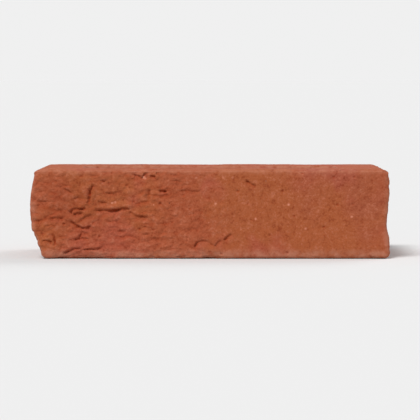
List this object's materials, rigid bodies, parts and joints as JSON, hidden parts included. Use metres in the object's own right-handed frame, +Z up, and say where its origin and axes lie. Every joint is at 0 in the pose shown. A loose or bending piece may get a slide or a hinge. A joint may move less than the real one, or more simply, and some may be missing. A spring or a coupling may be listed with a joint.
{
  "type": "clay brick",
  "caption": "Soft-mud moulded red clay facing brick with a shallow frog, a slumped end, creased show face and soft sanded arrises.",
  "frame": {"origin": "middle of the lower bed, on the plane that the brick rests on", "axes": "+X along the stretcher faces, the show face looks along -Y, +Z up through the frogged upper bed"},
  "size_m": [0.21, 0.0998, 0.052],
  "materials": {
    "fired_clay": "matte"
  },
  "bodies": {
    "root": {"brick": "fired_clay"}
  },
  "joints": []
}
